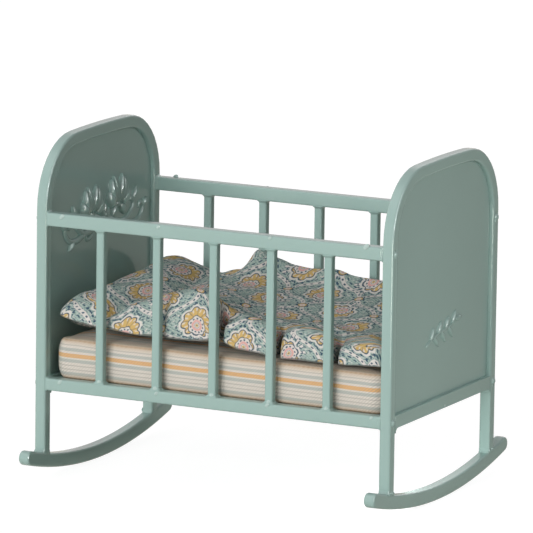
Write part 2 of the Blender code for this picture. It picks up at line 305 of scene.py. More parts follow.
paint = paint_material("cradle_enamel")
slat_paint = paint_material("slat_enamel", gloss=slat_gloss)
painted_highlight_drop_paint = paint_material("drop_enamel_painted_highlight", drop_highlight_colour, drop_darker, drop_gloss)


def add_object(name, data):
    made = bpy.data.objects.new(name, data)
    bpy.context.scene.collection.objects.link(made)
    return made


def closed_mesh(name, points, faces):
    """A mesh whose faces all look outwards."""
    mesh = bpy.data.meshes.new(name)
    mesh.from_pydata([tuple(point) for point in points], [], [tuple(face) for face in faces])
    shape = bmesh.new()
    shape.from_mesh(mesh)
    bmesh.ops.recalc_face_normals(shape, faces=shape.faces)
    shape.to_mesh(mesh)
    shape.free()
    return mesh


def finished(name, points, faces, body, look, sharp_angle=180):
    """Makes a mesh piece that rides on a body, with the given material."""
    mesh = closed_mesh(name, points, faces)
    mesh.shade_smooth()
    if sharp_angle < 180:
        mesh.set_sharp_from_angle(angle=math.radians(sharp_angle))
    made = add_object(name, mesh)
    mesh.materials.append(look)
    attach(made, body)
    return made


corner_steps = 4
dome_steps = 24
drop_steps = 12


class Form:
    """Points and faces of one piece while it is built up."""

    def __init__(self):
        self.points = []
        self.faces = []

    def loft(self, rings):
        """Adds a closed body through rings that all have the same number of points."""
        start = len(self.points)
        count = len(rings[0])
        for ring in rings:
            self.points.extend(ring)
        for level in range(len(rings) - 1):
            for k in range(count):
                a = start + level * count + k
                b = start + level * count + (k + 1) % count
                self.faces.append((a, b, b + count, a + count))
        last = start + (len(rings) - 1) * count
        self.faces.append(tuple(start + k for k in reversed(range(count))))
        self.faces.append(tuple(last + k for k in range(count)))

    def block(self, axis, low, high, levels, corner, lean=0.0):
        """Adds a bar along an axis, with rounded corners, whose section grows or shrinks level by level.

        A level is a place along the axis and how far the section grows at its four sides: low and high
        of the first of the other axes, then low and high of the second. lean tilts the levels.
        """
        first, second = [k for k in range(3) if k != axis]
        middle = (low[second] + high[second]) / 2
        rings = []
        for place, grown in levels:
            a0, a1 = low[first] - grown[0], high[first] + grown[1]
            b0, b1 = low[second] - grown[2], high[second] + grown[3]
            ring = []
            for centre_a, centre_b, start in (
                (a1 - corner, b1 - corner, 0),
                (a0 + corner, b1 - corner, 90),
                (a0 + corner, b0 + corner, 180),
                (a1 - corner, b0 + corner, 270),
            ):
                for step in range(corner_steps):
                    angle = math.radians(start + 90 / (corner_steps - 1) * step)
                    point = [0, 0, 0]
                    point[first] = centre_a + corner * math.cos(angle)
                    point[second] = centre_b + corner * math.sin(angle)
                    point[axis] = place + lean * (point[second] - middle)
                    ring.append(tuple(point))
            rings.append(ring)
        self.loft(rings)

    def dome(self, centre, out, profile, steps=drop_steps, stretch=1.0):
        """Adds a turned button on a face: profile is (radius, height) from its skirt to its top."""
        out = Vector(out)
        side = out.orthogonal().normalized()
        other = out.cross(side)
        rings = []
        for radius, height in profile:
            ring = []
            for k in range(steps):
                angle = 2 * math.pi * k / steps
                point = Vector(centre) + out * height
                point += side * (radius * math.cos(angle) * stretch) + other * (radius * math.sin(angle))
                ring.append(tuple(point))
            rings.append(ring)
        self.loft(rings)

    def made(self, name, body="cradle", slot_name="paint", look=paint, sharp_angle=180):
        return finished(name, self.points, self.faces, body, look, sharp_angle)


joined_distance = 0.000002
face_weight = 100


def dress_frame():
    """Gives the carried-over nodes the enamel, and lets their rounded edges shade smoothly."""
    for name, node in frame["nodes"].items():
        if name in ("mattress", "quilt"):
            continue
        mesh = node.data
        if "custom_normal" in mesh.attributes:
            mesh.attributes.remove(mesh.attributes["custom_normal"])
        mesh.materials.clear()
        mesh.materials.append(slat_paint if "_slat_" in name else paint)
        mesh.shade_smooth()
        weld = node.modifiers.new("joined", "WELD")
        weld.merge_threshold = joined_distance
        shading = node.modifiers.new("edges", "WEIGHTED_NORMAL")
        shading.weight = face_weight
        shading.keep_sharp = False


# How far the edges of the bars are rounded
slat_rounding = 0.0006
rail_rounding = 0.0007
post_rounding = 0.0008

# Small drops of weld or paint: radius and height of the profile, as shares of the drop's radius
drop_profile = (
    (1.0, -0.25), (0.98, 0.00), (0.90, 0.12), (0.76, 0.24), (0.58, 0.33), (0.38, 0.39), (0.18, 0.42),
    (0.04, 0.43),
)

# Welds and paint fillets: how far each level stands from the surface it grows out of, and how far it
# flares
slat_levels = (
    (-0.00030, 0.00060), (-0.00004, 0.00060), (0.00012, 0.00050), (0.00034, 0.00030), (0.00060, 0.00010),
    (0.00090, 0.00001), (0.00110, -0.00012),
)
slat_foot_width = 1.35
rail_levels = (
    (0.00010, 0.00038), (-0.00004, 0.00038), (-0.00018, 0.00026), (-0.00036, 0.00014), (-0.00060, 0.00005),
    (-0.00095, 0.00001), (-0.00130, -0.00012),
)
rail_groove = -0.00016
rail_inner_flare = 0.00014
crossbar_levels = ((0.0001, 0.00020), (-0.0002, 0.00020), (-0.0005, 0.00008), (-0.0008, -0.0001))
crossbar_sides = (-0.00012, -0.00012, -0.0001)
# The same for a leg, with its flare along the cradle and then that across it
leg_levels = (
    (-0.00030, -0.00004, 0.00060), (0.00004, -0.00004, 0.00060), (0.00020, -0.00004, 0.00042),
    (0.00045, -0.00004, 0.00022), (0.00080, 0.00008, 0.00008), (0.00120, 0.00001, 0.00001),
    (0.00150, -0.00012, -0.00012),
)
# Drops on a leg's weld, in millimetres: off its middle, up, and radius
leg_drops = ((-1.7, 0.2, 0.8), (-0.6, -0.1, 0.6), (0.5, 0.3, 0.9), (1.6, 0.0, 0.7))
rocker_radius = 0.2100
rocker_height = 0.0052
rocker_top_radius = rocker_radius - rocker_height


def spatter(size):
    """Profile of a small smooth drop of weld or paint, of the given radius in millimetres."""
    return [(radius * size * 0.001, height * size * 0.001) for radius, height in drop_profile]


def rocker_top(y):
    """Height of a rocker's upper face at a place across the cradle."""
    return rocker_radius - math.sqrt(rocker_top_radius**2 - y**2)


def add_slat_welds(side):
    form = Form()
    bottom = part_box(f"{side}_bottom_rail")[1].z
    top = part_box(f"{side}_top_rail")[0].z
    for n in range(1, slat_count + 1):
        low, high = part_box(f"{side}_slat_{n}")
        for face, inward, width in ((bottom, 1, slat_foot_width), (top, -1, 1)):
            levels = [
                (face + inward * out, (width * flare, width * flare, flare, flare))
                for out, flare in slat_levels
            ]
            form.block(2, low, high, levels, slat_rounding)
    form.made(f"{side}_slat_welds", look=slat_paint)


def add_rail_welds(side, across):
    """Fills each rail's joint with its posts, all but a thin groove on the outside."""
    form = Form()
    for level_name in ("top", "bottom"):
        low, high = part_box(f"{side}_{level_name}_rail")
        for along in ends.values():
            levels = []
            for out, flare in rail_levels:
                grown = [min(flare, rail_inner_flare), rail_groove][::across] + [flare, flare]
                levels.append((along * (post_inner_x + out), grown))
            form.block(0, low, high, levels, rail_rounding)
    form.made(f"{side}_rail_welds")


def add_end_welds(end, along):
    """Welds of one end: the crossbar to the posts, and the legs to the rocker."""
    form = Form()
    low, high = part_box(f"{end}_crossbar")
    for across in sides.values():
        levels = [
            (across * (post_inner_y + out), (*crossbar_sides, flare)) for out, flare in crossbar_levels
        ]
        form.block(1, low, high, levels, post_rounding)
    frame_low, frame_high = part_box(f"{end}_frame")
    for across in sides.values():
        near, far = sorted((across * post_inner_y, across * post_outer_y))
        middle = (near + far) / 2
        foot = rocker_top(middle)
        slope = middle / math.sqrt(rocker_top_radius**2 - middle**2)
        levels = [(foot + out, (thin, thin, flare, flare)) for out, thin, flare in leg_levels]
        form.block(2, (frame_low.x, near, 0), (frame_high.x, far, 0), levels, post_rounding, slope)
        for off, up, size in leg_drops:
            place = (along * post_outer_x, middle + off * 0.001, foot + up * 0.001)
            form.dome(place, (along, 0, 0), spatter(size))
    form.made(f"{end}_welds")


# Rivet heads: radius and height of the profile
rivet_profile = (
    (0.00138, -0.00015), (0.00136, 0.00002), (0.00122, 0.00008), (0.00112, 0.00015), (0.00108, 0.00026),
    (0.00100, 0.00040), (0.00080, 0.00052), (0.00060, 0.00063), (0.00035, 0.00070), (0.00010, 0.00073),
)
# Drops of paint beside a rivet: their radii in millimetres, how far off they lie, and how they are turned
rivet_drops = (0.62, 0.45)
rivet_drop_reach = (0.0013, 0.0016)
rivet_drop_turn = 2.2
rivet_drop_step = 2.4


def add_rivets():
    for end, along in ends.items():
        for side in sides:
            for level_name in ("top", "bottom"):
                name = f"{end}_{side}_{level_name}_rivet"
                low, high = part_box(name)
                x, y, z = along * post_outer_x, (low.y + high.y) / 2, (low.z + high.z) / 2
                form = Form()
                form.dome((x, y, z), (along, 0, 0), rivet_profile, dome_steps)
                for k, size in enumerate(rivet_drops):
                    angle = rivet_drop_turn * len(name) + rivet_drop_step * k
                    off_y = rivet_drop_reach[0] * math.cos(angle)
                    off_z = rivet_drop_reach[1] * math.sin(angle)
                    form.dome((x, y + off_y, z + off_z), (along, 0, 0), spatter(size))
                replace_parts(form.made(f"{end}_{side}_{level_name}_rivet_head"), name)


# Drops on the front rails, which the back rails repeat turned round: x, z, and radius in millimetres
rail_drops = (
    (-0.0597, 0.0959, 0.8), (-0.0214, 0.0959, 0.55), (0.0224, 0.0962, 0.6), (0.0596, 0.0966, 0.9),
    (-0.0600, 0.0362, 0.7), (-0.0215, 0.0362, 0.6), (0.0222, 0.0366, 0.7), (0.0626, 0.0364, 0.6),
)
rail_drop_steps = 16
rail_drop_stretch = 1.5
# Drops at the slats' feet: off the slat's middle, over the rail, radius in millimetres, and stretch
slat_drop = (0.0001, 0.00055, 0.85, 1.1)
# The drop on the foot crossbar: y, under the bar's middle, and radius in millimetres
crossbar_drop = (0.0010, 0.0006, 0.5)


def add_paint_drops():
    """Small drops of paint over weld points, on the outer faces of the side rails, in a paler enamel that paints a
    highlight on them.
    """
    form = Form()
    for side, across in sides.items():
        for x, z, size in rail_drops:
            place = (x * -across, across * post_outer_y, z)
            form.dome(place, (0, across, 0), spatter(size), rail_drop_steps, rail_drop_stretch)
        rail_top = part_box(f"{side}_bottom_rail")[1].z
        off, up, size, stretch = slat_drop
        for n in range(1, slat_count + 1):
            low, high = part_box(f"{side}_slat_{n}")
            place = ((low.x + high.x) / 2 + off, low.y if across < 0 else high.y, rail_top + up)
            form.dome(place, (0, across, 0), spatter(size), rail_drop_steps, stretch)
    y, under, size = crossbar_drop
    place = (foot_high.x, y, (crossbar_low.z + crossbar_high.z) / 2 - under)
    form.dome(place, (1, 0, 0), spatter(size), rail_drop_steps)
    form.made("rail_paint_drops", look=painted_highlight_drop_paint)


arch_corner_radius = 0.0246
arch_radius = 0.5600
arch_corner_steps = 16
arch_top_steps = 12


def arch_line(inset):
    """The arch of a frame from one post over to the other, as (y, z), inset from its outer face."""
    centre = foot_high.z - arch_radius
    corner_y = post_outer_y - arch_corner_radius
    corner_z = centre + math.sqrt((arch_radius - arch_corner_radius) ** 2 - corner_y**2)
    meeting = math.atan2(corner_z - centre, corner_y)
    right = []
    for step in range(arch_corner_steps + 1):
        angle = meeting * step / arch_corner_steps
        radius = arch_corner_radius - inset
        right.append((corner_y + radius * math.cos(angle), corner_z + radius * math.sin(angle)))
    top = []
    for step in range(1, arch_top_steps):
        angle = meeting + (math.pi - 2 * meeting) * step / arch_top_steps
        radius = arch_radius - inset
        top.append((radius * math.cos(angle), centre + radius * math.sin(angle)))
    return right + top + [(-y, z) for y, z in reversed(right)]


# Beads: how far one stays inside the panel's faces and goes into the frame, its width, and its corners
bead_margin = 0.00022
bead_under = 0.0001
bead_outward, bead_inward = 0.0002, 0.0006
bead_sill = 0.0007
bead_corner = 0.00005
bead_sharp_angle = 40


def add_panel_bead(end):
    """A thin bead behind the crevice all round a panel, which seats it in its frame."""
    low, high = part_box(f"{end}_panel")
    x0, x1 = low.x + bead_margin, high.x - bead_margin
    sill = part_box(f"{end}_crossbar")[1].z - bead_under
    bar = post_outer_y - post_inner_y
    outer, inner = [
        [(line[0][0], sill), *line, (line[-1][0], sill)]
        for line in (arch_line(bar - bead_outward), arch_line(bar + bead_inward))
    ]
    form = Form()
    form.loft([
        [(x0, y0, z0), (x1, y0, z0), (x1, y1, z1), (x0, y1, z1)] for (y0, z0), (y1, z1) in zip(outer, inner)
    ])
    edge = post_inner_y - bead_under
    levels = [(place, (0, 0, 0, 0)) for place in (-edge, edge)]
    form.block(1, (x0, 0, sill), (x1, 0, sill + bead_sill), levels, bead_corner)
    form.made(f"{end}_panel_bead", sharp_angle=bead_sharp_angle)


petal_stations = 9
petal_steps = 8
petal_root = 0.0002
petal_tip = 0.06
groove_width = 0.22


def add_petal(form, x, base, angle, length, width, height, groove=0.0, bend=0.0):
    """Adds one raised petal or leaf on a panel face at x.

    base is (y, z), and bend, in degrees, curls its line.
    """
    y, z = base
    rings = []
    for k in range(petal_stations + 1):
        s = k / petal_stations
        heading = math.radians(angle + bend * s)
        ahead_y, ahead_z = math.cos(heading), math.sin(heading)
        if k:
            y += length / petal_stations * ahead_y
            z += length / petal_stations * ahead_z
        rounded = math.sin(math.pi * min(1, petal_tip + 0.92 * s**0.8)) ** 0.75
        half = width / 2 * max(petal_tip, rounded)
        lift = height * (0.25 + 0.75 * math.sin(math.pi * min(1, 0.1 + 0.86 * s)))
        ring = []
        for j in range(petal_steps + 1):
            t = 2 * j / petal_steps - 1
            sunk = groove * math.exp(-((t / groove_width) ** 2)) * math.sin(math.pi * s)
            rise = lift * (1 - abs(t) ** 2.4) - sunk
            ring.append((x + rise, y - ahead_z * half * t, z + ahead_y * half * t))
        for t in (1, -1):
            ring.append((x - petal_root, y - ahead_z * half * t, z + ahead_y * half * t))
        rings.append(ring)
    form.loft(rings)


# Raised lines: how deep one goes into its panel, which it must not pass through, and its section
scroll_root = 0.0004
scroll_steps = 5
scroll_corners = 10
scroll_height = 0.9
scroll_end = 0.4


def add_scroll(form, x, points, radius_start, radius_end):
    """Adds a raised line that thins out along a smooth path of (y, z) points."""
    path = []
    last = len(points) - 1
    for k in range(last):
        around = (points[max(0, k - 1)], points[k], points[k + 1], points[min(last, k + 2)])
        for step in range(scroll_steps):
            t = step / scroll_steps
            path.append(tuple(
                0.5 * (2 * b + (c - a) * t + (2 * a - 5 * b + 4 * c - d) * t**2 + (3 * b - a - 3 * c + d) * t**3)
                for a, b, c, d in zip(*around)))
    path.append(tuple(points[-1]))
    last = len(path) - 1
    rings = []
    for k, (y, z) in enumerate(path):
        before, after = path[max(0, k - 1)], path[min(last, k + 1)]
        heading = math.atan2(after[1] - before[1], after[0] - before[0])
        radius = radius_start + (radius_end - radius_start) * k / last
        if k in (0, last):
            radius *= scroll_end
        ring = []
        for j in range(scroll_corners):
            turn = 2 * math.pi * j / scroll_corners
            across = radius * math.cos(turn)
            rise = max(radius * scroll_height * math.sin(turn), -scroll_root)
            ring.append((x + rise, y - math.sin(heading) * across, z + math.cos(heading) * across))
        rings.append(ring)
    form.loft(rings)


# The head panel's ornament. Places are (y, z) in millimetres; those with a sign are mirrored.
blossoms = ((-7.4, 91.0, 1.0), (12.7, 91.8, 1.02))
# A petal: off its blossom's middle, lean, length, width, height, groove and bend
blossom_petals = (
    (0.9, 0.0, 6, 0.0100, 0.0038, 0.0026, 0.0009, -14),
    (2.4, 0.4, 34, 0.0088, 0.0052, 0.0027, 0.0010, 34),
    (3.2, -0.6, 66, 0.0068, 0.0052, 0.0025, 0.0, 55),
    (1.6, -1.2, 118, 0.0054, 0.0038, 0.0022, 0.0004, -40),
)
blossom_button = ((1.5, -0.3), (1.4, 0.4), (1.1, 0.9), (0.6, 1.2), (0.1, 1.3))
button_drop = 0.6
rosette = (2.7, 88.6)
rosette_petals = 6
rosette_petal = (0.0044, 0.0029, 0.0016, 0.0003)
rosette_button = ((1.0, -0.3), (0.95, 0.9), (0.7, 1.25), (0.1, 1.4))
button_steps = 16
# A scroll: its path beside the rosette, and its radius at its start and end
scrolls = (
    (((4.0, 86.9), (9.5, 84.6), (15.5, 84.2), (20.0, 86.2), (22.5, 89.2), (21.6, 91.6), (19.6, 91.0)),
     0.0014, 0.0009),
    (((15.5, 84.2), (21.0, 82.4), (26.5, 83.0), (30.0, 86.2), (29.4, 88.8), (27.2, 88.6), (26.9, 87.0)),
     0.0013, 0.0008),
    (((8.5, 85.0), (10.2, 82.4), (13.0, 81.6), (14.2, 83.0)), 0.0011, 0.0007),
)
# A leaf on the scrolls: its place beside the rosette, lean, length, width, height, groove and bend
scroll_leaves = (
    (21.8, 90.8, 40, 0.0054, 0.0031, 0.0017, 0.0003, 20),
    (24.0, 83.0, 150, 0.0050, 0.0029, 0.0016, 0.0, 30),
    (29.8, 87.4, 30, 0.0042, 0.0026, 0.0015, 0.0, -40),
)


def add_ornament():
    """Pressed flowers on the inside of the head panel: two blossoms, a rosette between and scrolls."""
    form = Form()
    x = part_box("head_panel")[1].x
    for y, z, size in blossoms:
        for sign in (-1, 1):
            for off_y, off_z, lean, length, width, height, groove, bend in blossom_petals:
                grown = length * (size if lean < 90 else 1)
                base = mm(y + sign * off_y, z + off_z)
                add_petal(form, x, base, 90 - sign * lean, grown, width, height, groove, sign * bend)
        profile = [mm(1.1 * radius, 1.1 * height) for radius, height in blossom_button]
        form.dome((x, *mm(y, z - button_drop)), (1, 0, 0), profile, button_steps)
    for k in range(rosette_petals):
        add_petal(form, x, mm(*rosette), 30 + 360 / rosette_petals * k, *rosette_petal)
    form.dome((x, *mm(*rosette)), (1, 0, 0), [mm(*level) for level in rosette_button], button_steps)
    for sign in (-1, 1):
        for path, radius_start, radius_end in scrolls:
            line = [mm(rosette[0] + sign * y, z) for y, z in path]
            add_scroll(form, x, line, radius_start, radius_end)
        for y, z, lean, length, width, height, groove, bend in scroll_leaves:
            base = mm(rosette[0] + sign * y, z)
            add_petal(form, x, base, 90 - sign * lean, length, width, height, groove, sign * bend)
    form.made("head_ornament")


# The foot panel's sprig: (y, z) in millimetres, and each leaf's angle
sprig_stem = ((-12.5, 56.4), (-6.5, 58.8), (0.0, 60.0), (6.5, 60.6), (12.0, 62.6))
sprig_stem_radii = (0.00072, 0.00050)
sprig_leaves = (
    (-8.8, 58.0, 68), (-6.2, 58.8, -38), (-2.8, 59.6, 62), (-0.2, 60.0, -46),
    (3.2, 60.4, 60), (5.8, 60.6, -44), (9.0, 61.4, 64), (11.6, 62.4, 12),
)
sprig_leaf = (0.0052, 0.0022, 0.00110, 0.0003, -12)


def add_sprig():
    """A small pressed sprig of leaves on the outside of the foot panel."""
    form = Form()
    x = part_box("foot_panel")[1].x
    add_scroll(form, x, [mm(*place) for place in sprig_stem], *sprig_stem_radii)
    for y, z, angle in sprig_leaves:
        add_petal(form, x, mm(y, z), angle, *sprig_leaf)
    form.made("foot_sprig")


def smooth_noise(values, seed, count=6):
    """A sum of a few seeded waves over an array of places, between about -1 and 1."""
    made = np.zeros(values.shape[:-1])
    random = np.random.default_rng(seed)
    for _ in range(count):
        direction = random.normal(size=values.shape[-1])
        direction /= np.linalg.norm(direction)
        made += np.sin(values @ direction * random.uniform(0.6, 1.6) + random.uniform(0, 2 * math.pi))
    return made / math.sqrt(count)


# Cloth simulation, on a mesh made larger, because cloth this small doesn't move well
cloth_grow = 5.0
cloth_frames = 20
cloth_quality = 6
cloth_mass = 0.25
cloth_tension = 15.0
cloth_bending = 0.6
cloth_damping = 4.0


def inflate(name, points, faces, held, pressure, cap):
    """Swells a closed mesh as cloth under pressure.

    Returns its new points, none moved by more than cap.
    """
    swollen = add_object(name, closed_mesh(name, [point * cloth_grow for point in points], faces))
    group = swollen.vertex_groups.new(name="held")
    for index, weight in enumerate(held):
        if weight > 0:
            group.add([index], float(weight), "REPLACE")
    cloth = swollen.modifiers.new("cloth", "CLOTH")
    settings = cloth.settings
    settings.quality = cloth_quality
    settings.mass = cloth_mass
    settings.tension_stiffness = cloth_tension
    settings.compression_stiffness = cloth_tension
    settings.shear_stiffness = cloth_tension / 2
    settings.bending_stiffness = cloth_bending
    settings.air_damping = cloth_damping
    settings.use_pressure = True
    settings.uniform_pressure_force = pressure
    settings.vertex_group_mass = "held"
    settings.effector_weights.gravity = 0
    cloth.collision_settings.use_collision = False
    cloth.point_cache.frame_start = 1
    cloth.point_cache.frame_end = cloth_frames
    scene = bpy.context.scene
    for number in range(1, cloth_frames + 1):
        scene.frame_set(number)
    graph = bpy.context.evaluated_depsgraph_get()
    result = swollen.evaluated_get(graph).to_mesh()
    moved = np.empty(len(result.vertices) * 3)
    result.vertices.foreach_get("co", moved)
    bpy.data.objects.remove(swollen, do_unlink=True)
    scene.frame_set(1)
    shift = moved.reshape(-1, 3) / cloth_grow - points
    length = np.maximum(np.linalg.norm(shift, axis=1, keepdims=True), 1e-9)
    return points + shift * np.minimum(1, cap / length)


def grid_faces(rows, columns, first=0):
    return [(first + i * columns + j, first + (i + 1) * columns + j,
             first + (i + 1) * columns + j + 1, first + i * columns + j + 1)
            for i in range(rows - 1) for j in range(columns - 1)]


def rounded_plan(x, y, half_x, half_y, corner):
    """Pulls the square corners of a plan in to a round."""
    a = np.clip((np.abs(x) - (half_x - corner)) / corner, 0, 1)
    b = np.clip((np.abs(y) - (half_y - corner)) / corner, 0, 1)
    both = (a > 0) & (b > 0)
    new_a = np.where(both, a * np.sqrt(1 - b**2 / 2), a)
    new_b = np.where(both, b * np.sqrt(1 - a**2 / 2), b)
    x = np.where(both, np.sign(x) * (half_x - corner + corner * new_a), x)
    y = np.where(both, np.sign(y) * (half_y - corner + corner * new_b), y)
    return x, y


def crown_at(x, y, half_x, half_y):
    """1 in the middle of a cushion's face, 0 at its edges."""
    return (1 - (x / half_x) ** 2) * (1 - (y / half_y) ** 2)


def front_slat_places():
    """The middle of each front slat along the cradle."""
    boxes = [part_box(f"front_slat_{n}") for n in range(1, slat_count + 1)]
    return [(low.x + high.x) / 2 for low, high in boxes]


def smoothed(piece):
    smoother = piece.modifiers.new("finer", "SUBSURF")
    smoother.levels = smoother.render_levels = 1


# Ticking
cream = (0.695, 0.640, 0.580)
grey_blue = (0.432, 0.455, 0.428)
thin_grey = (0.500, 0.470, 0.420)
ochre = (0.700, 0.400, 0.170)
brown_thread = (0.36, 0.205, 0.11)
ticking_shade = (0.30, 0.27, 0.23)
ticking_slub = (0.62, 0.56, 0.47)
ticking_edge_painted_shade = (0.50, 0.35, 0.21)
ticking_repeat = 0.0142
ticking_wobble = 0.00016
thread_pitch = 0.00115
thread_slant = 5200.0
# Where each stripe starts in the repeat, in millimetres, and its colour
ticking_bands = (
    (0.0, cream), (0.80, thin_grey), (1.25, cream), (2.13, grey_blue), (3.37, cream), (4.25, ochre),
    (5.85, cream), (6.53, grey_blue), (7.81, cream), (8.80, thin_grey), (9.25, cream), (10.40, thin_grey),
    (10.85, cream), (11.77, grey_blue), (13.05, cream),
)


def ticking_material():
    """Woven ticking: stripes along the cloth, slanting threads, stitched edges, and painted warm shade beside
    them.
    """
    shader = Shader("striped_ticking")
    place = shader.attribute("cloth_place")
    along, across, edge = shader.split(place)
    wobble = (shader.noise(place, 300, 1.0) - 0.5) * ticking_wobble
    stripes = shader.value("ValToRGB", {0: ((across + wobble) / ticking_repeat).fraction()})
    ramp = stripes.socket.node.color_ramp
    ramp.interpolation = "CONSTANT"
    ramp.elements.remove(ramp.elements[1])
    ramp.elements[0].color = (*ticking_bands[0][1], 1)
    for start, colour in ticking_bands[1:]:
        ramp.elements.new(start * 0.001 / ticking_repeat).color = (*colour, 1)
    slant = shader.noise(place, 900, 1.0) * 2.5 + across * thread_slant
    weave = (along * (2 * math.pi / thread_pitch) + slant).sine()
    fuzz = shader.noise(place, 2600, 2.0)
    slub = shader.noise(place, 500, 2.0)
    darker = ((weave * 0.36 + 0.12) + (fuzz * 0.14 - 0.04)).clamped()
    colour = shader.mix(darker, stripes, ticking_shade)
    colour = shader.mix(slub * 0.10, colour, ticking_slub)
    # Painted warm shade near the seams, where the edge rounds over and the quilt shades the top
    colour = shader.mix(shader.below(edge, 0.0012, 0.0012) * 0.65, colour, ticking_edge_painted_shade)
    stitch = (along * (2 * math.pi / (1.6 * thread_pitch))).sine() * 0.35 + 0.65
    colour = shader.mix(shader.below(edge, 0.0006, 0.0003) * stitch * 0.50, colour, brown_thread)
    return shader.finish(colour, 0.92, 0.12, shader.bump(weave * 0.5 + fuzz, 0.00005))


# Mattress
mattress_margin = (0.0004, 0.0003)
mattress_steps = (72, 44)
mattress_corner = 0.0045
mattress_crown = 0.0008
mattress_rounding, mattress_rounding_reach = 0.0003, 0.0011
mattress_band_rows = 10
mattress_bulge, mattress_end_bulge, mattress_end = 0.00055, 0.0011, 0.006
mattress_rim, mattress_rim_from, mattress_rim_reach = 0.0008, -0.030, 0.008
mattress_held = 0.8
mattress_pressure = 3.0
mattress_cap = 0.0011
mattress_reach_y = 0.03945
mattress_over = 0.0002
mattress_dent, mattress_dent_width, mattress_dent_shift = 0.0008, 0.0026, 0.0005
# Unevenness of its faces: radians per metre, seed and height, and where the sides and top have it
mattress_roughness = ((700, 3, 0.00007), (260, 5, 0.00010))
mattress_rough_side_share = 0.97
mattress_rough_top_reach = 0.004
mattress_side_reach = 0.003
stripe_top = 0.0014
stripe_scale = 1.11
top_stripe_start = 0.0060
# On the top: where the distance from the seam starts and how it grows with the gap to the border, which spreads
# the painted edge shade over the top
top_edge_start, top_edge_share = 0.0006, 0.25


def ring_of(nx, ny):
    """The border of a grid of points, once round."""
    ring = [i * ny for i in range(nx)] + [(nx - 1) * ny + j for j in range(1, ny)]
    ring += [i * ny + ny - 1 for i in reversed(range(nx - 1))]
    return ring + [*reversed(range(1, ny - 1))]


def add_mattress():
    """The mattress: a boxed cushion with a stitched seam round its top and its bottom."""
    half_x = mattress_high.x - mattress_margin[0]
    half_y = mattress_high.y - mattress_margin[1]
    nx, ny = mattress_steps
    xs, ys = np.linspace(-half_x, half_x, nx), np.linspace(-half_y, half_y, ny)
    x, y = np.meshgrid(xs, ys, indexing="ij")
    x, y = rounded_plan(x, y, half_x, half_y, mattress_corner)
    edge_gap = np.minimum(half_x - np.abs(x), half_y - np.abs(y))
    rounding = mattress_rounding * np.exp(-(np.maximum(edge_gap, 0) / mattress_rounding_reach) ** 1.2)
    rim = mattress_rim * np.clip((mattress_rim_from - y) / mattress_rim_reach, 0, 1)
    crown = mattress_crown * (crown_at(x, y, half_x, half_y) - 1)
    top = np.stack([x, y, mattress_high.z + crown - rounding + rim], -1).reshape(-1, 3)
    bottom = np.stack([x, y, mattress_low.z + rounding], -1).reshape(-1, 3)
    ring = ring_of(nx, ny)
    points = [*top, *bottom]
    faces = grid_faces(nx, ny)
    faces += [tuple(reversed(face)) for face in grid_faces(nx, ny, nx * ny)]
    rows = [ring]
    straight = np.array([half_x, half_y]) - mattress_corner
    for row in range(1, mattress_band_rows):
        share = row / mattress_band_rows
        this = []
        for index in ring:
            point = top[index] * (1 - share) + bottom[index] * share
            at_end = np.clip((abs(point[0]) - half_x + mattress_end) / mattress_end, 0, 1)
            bulge = (mattress_bulge + mattress_end_bulge * at_end) * (1 - (2 * share - 1) ** 4)
            outward = point[:2] - np.clip(point[:2], -straight, straight)
            point[:2] += outward / max(np.linalg.norm(outward), 1e-9) * bulge
            this.append(len(points))
            points.append(point)
        rows.append(this)
    rows.append([index + nx * ny for index in ring])
    band_start = len(faces)
    count = len(ring)
    for upper, lower in zip(rows, rows[1:]):
        for k in range(count):
            faces.append((upper[k], upper[(k + 1) % count], lower[(k + 1) % count], lower[k]))
    flat = np.array(points)
    held = np.zeros(len(flat))
    held[rows[0] + rows[-1]] = mattress_held
    points = inflate("mattress_cloth", flat, faces, held, mattress_pressure, mattress_cap).copy()
    rough = sum(smooth_noise(flat * waves, seed) * height for waves, seed, height in mattress_roughness)
    on_rough_side = np.abs(flat[:, 1]) > half_y * mattress_rough_side_share
    points[:, 1] += rough * np.sign(points[:, 1]) * on_rough_side
    points[:, 2] += rough * (flat[:, 2] > mattress_high.z - mattress_rough_top_reach)
    near = np.zeros(len(points))
    for middle in front_slat_places():
        near += np.exp(-(((points[:, 0] - mattress_dent_shift - middle) / mattress_dent_width) ** 2))
    side_start = half_y - mattress_side_reach
    on_side = np.clip((np.abs(flat[:, 1]) - side_start) / mattress_side_reach, 0, 1)
    points[:, 1] -= np.sign(points[:, 1]) * near * on_side * mattress_dent
    points[:, 1] = np.clip(points[:, 1], -mattress_reach_y, mattress_reach_y)
    points[:, 2] = np.clip(points[:, 2], mattress_low.z, mattress_high.z + mattress_over)
    made = finished("mattress_ticking", points, faces, "mattress", ticking_material())
    place_cloth(made, flat, rows, band_start, half_x, half_y)
    smoothed(made)
    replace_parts(made, "mattress")


def place_cloth(made, flat, rows, band_start, half_x, half_y):
    """Stores where each corner of the mattress lies on its cloth.

    That is along it, across it, and off the nearest seam.
    """
    ring = rows[0]
    place = made.data.attributes.new("cloth_place", "FLOAT_VECTOR", "CORNER")
    values = np.zeros((len(made.data.loops), 3), np.float32)
    steps = [
        np.linalg.norm(flat[after][:2] - flat[index][:2]) for index, after in zip(ring, ring[1:])
    ]
    perimeter = [0.0, *np.cumsum(steps)]
    column_of = {index: k for indices in rows for k, index in enumerate(indices)}
    for number, polygon in enumerate(made.data.polygons):
        for loop in polygon.loop_indices:
            vertex = made.data.loops[loop].vertex_index
            x, y, z = flat[vertex]
            if number >= band_start:
                k = column_of[vertex]
                near_edge = min(flat[ring[k]][2] - z, z - flat[rows[-1][k]][2])
                values[loop] = (perimeter[k], (mattress_high.z - stripe_top - z) * stripe_scale, near_edge)
            else:
                gap = min(half_x - abs(x), half_y - abs(y))
                near_edge = top_edge_start + top_edge_share * max(gap, 0)
                values[loop] = (x, y + half_y + top_stripe_start, near_edge)
    place.data.foreach_set("vector", values.ravel())


